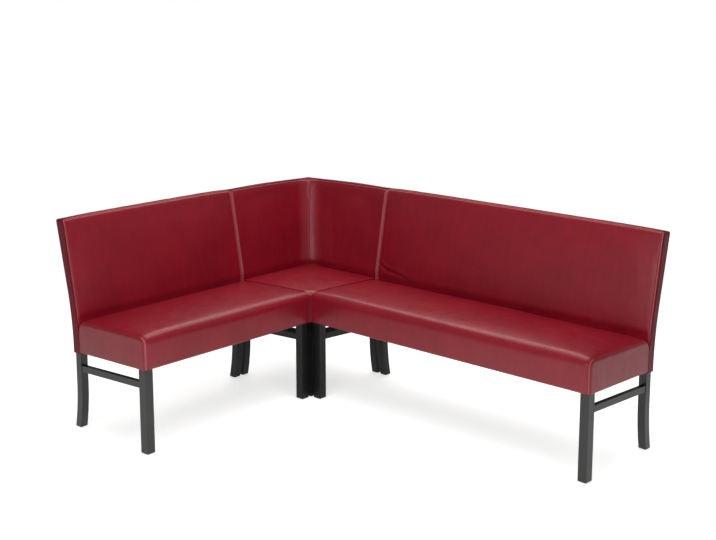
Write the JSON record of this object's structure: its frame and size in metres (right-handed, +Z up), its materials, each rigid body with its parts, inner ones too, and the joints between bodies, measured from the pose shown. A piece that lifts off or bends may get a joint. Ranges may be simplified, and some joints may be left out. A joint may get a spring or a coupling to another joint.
{
  "type": "corner bench",
  "caption": "Upholstered corner bench in dark red leather: a short and a long bench joined by a square corner module, on black stained wooden legs with side stretchers.",
  "frame": {"origin": "on the floor, under the middle of the box around the whole bench", "axes": "+X along the long bench away from the corner, -Y the way the long bench faces and the short bench runs, +Z up"},
  "size_m": [1.9528, 1.4528, 0.8733],
  "materials": {
    "leather": "satin",
    "rear_leather": "satin",
    "foam": "matte",
    "stained_wood": "satin",
    "frame_wood": "matte",
    "board": "matte",
    "dust_cloth": "matte",
    "glide": "matte",
    "connector_steel": "satin"
  },
  "bodies": {
    "corner_module": {"corner_back_boards": "board", "corner_back_cover_left": "leather", "corner_back_cover_right": "leather", "corner_back_foams": "foam", "corner_back_post_left": "stained_wood", "corner_back_post_outer": "stained_wood", "corner_back_post_right": "stained_wood", "corner_back_rails": "frame_wood", "corner_connector_jaws": "connector_steel", "corner_dust_cover": "dust_cloth", "corner_front_leg": "stained_wood", "corner_glides": "glide", "corner_rear_covers": "rear_leather", "corner_seat_board": "board", "corner_seat_cover": "leather", "corner_seat_foam": "foam", "corner_seat_rails": "frame_wood", "corner_stretchers": "stained_wood"},
    "left_bench": {"left_back_board": "board", "left_back_cover": "leather", "left_back_foam": "foam", "left_back_post_inner": "stained_wood", "left_back_post_outer": "stained_wood", "left_back_rails": "frame_wood", "left_connector_blade": "connector_steel", "left_corner_blocks": "frame_wood", "left_dust_cover": "dust_cloth", "left_front_leg_inner": "stained_wood", "left_front_leg_outer": "stained_wood", "left_glides": "glide", "left_rear_cover": "rear_leather", "left_seat_board": "board", "left_seat_cover": "leather", "left_seat_cross_rails": "frame_wood", "left_seat_foam": "foam", "left_seat_front_rail": "frame_wood", "left_seat_rear_rail": "frame_wood", "left_stretcher_inner": "stained_wood", "left_stretcher_outer": "stained_wood"},
    "right_bench": {"right_back_board": "board", "right_back_cover": "leather", "right_back_foam": "foam", "right_back_post_inner": "stained_wood", "right_back_post_outer": "stained_wood", "right_back_rails": "frame_wood", "right_connector_blade": "connector_steel", "right_corner_blocks": "frame_wood", "right_dust_cover": "dust_cloth", "right_front_leg_inner": "stained_wood", "right_front_leg_outer": "stained_wood", "right_glides": "glide", "right_rear_cover": "rear_leather", "right_seat_board": "board", "right_seat_cover": "leather", "right_seat_cross_rails": "frame_wood", "right_seat_foam": "foam", "right_seat_front_rail": "frame_wood", "right_seat_rear_rail": "frame_wood", "right_stretcher_inner": "stained_wood", "right_stretcher_outer": "stained_wood"}
  },
  "joints": [
    {"name": "left_bench_slide", "type": "slide", "parent": "corner_module", "child": "left_bench", "axis": [0, -1, 0], "range_m": [0, 0.25]},
    {"name": "right_bench_slide", "type": "slide", "parent": "corner_module", "child": "right_bench", "axis": [1, 0, 0], "range_m": [0, 0.25]}
  ]
}
